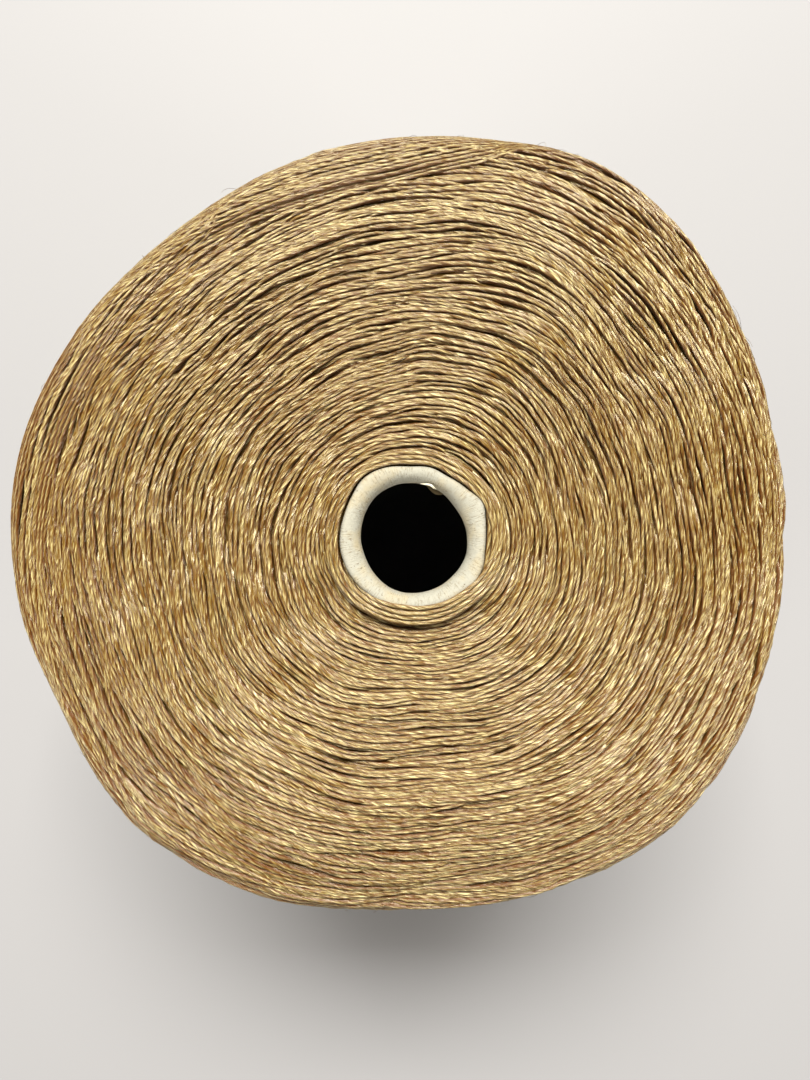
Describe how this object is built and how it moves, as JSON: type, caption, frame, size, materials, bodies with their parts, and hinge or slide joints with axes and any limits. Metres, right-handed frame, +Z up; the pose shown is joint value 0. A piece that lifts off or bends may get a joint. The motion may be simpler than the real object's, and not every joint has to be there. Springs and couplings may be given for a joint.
{
  "type": "cone of yarn",
  "caption": "Large soft-wound cone of plied yarn on a tapered paper cone, standing nose up, with an uneven rim and wraps slipped over its shoulder.",
  "frame": {"origin": "centre of the paper cone's base ring, on the surface that it stands on", "axes": "+Z up along the paper cone's axis, from its wide base to its nose; +X and +Y follow the picture's right and top, seen from above"},
  "size_m": [0.1846, 0.186, 0.17],
  "materials": {
    "paper": "matte",
    "yarn": "matte"
  },
  "bodies": {
    "root": {"paper_cone": "paper", "yarn_package": "yarn"}
  },
  "joints": []
}
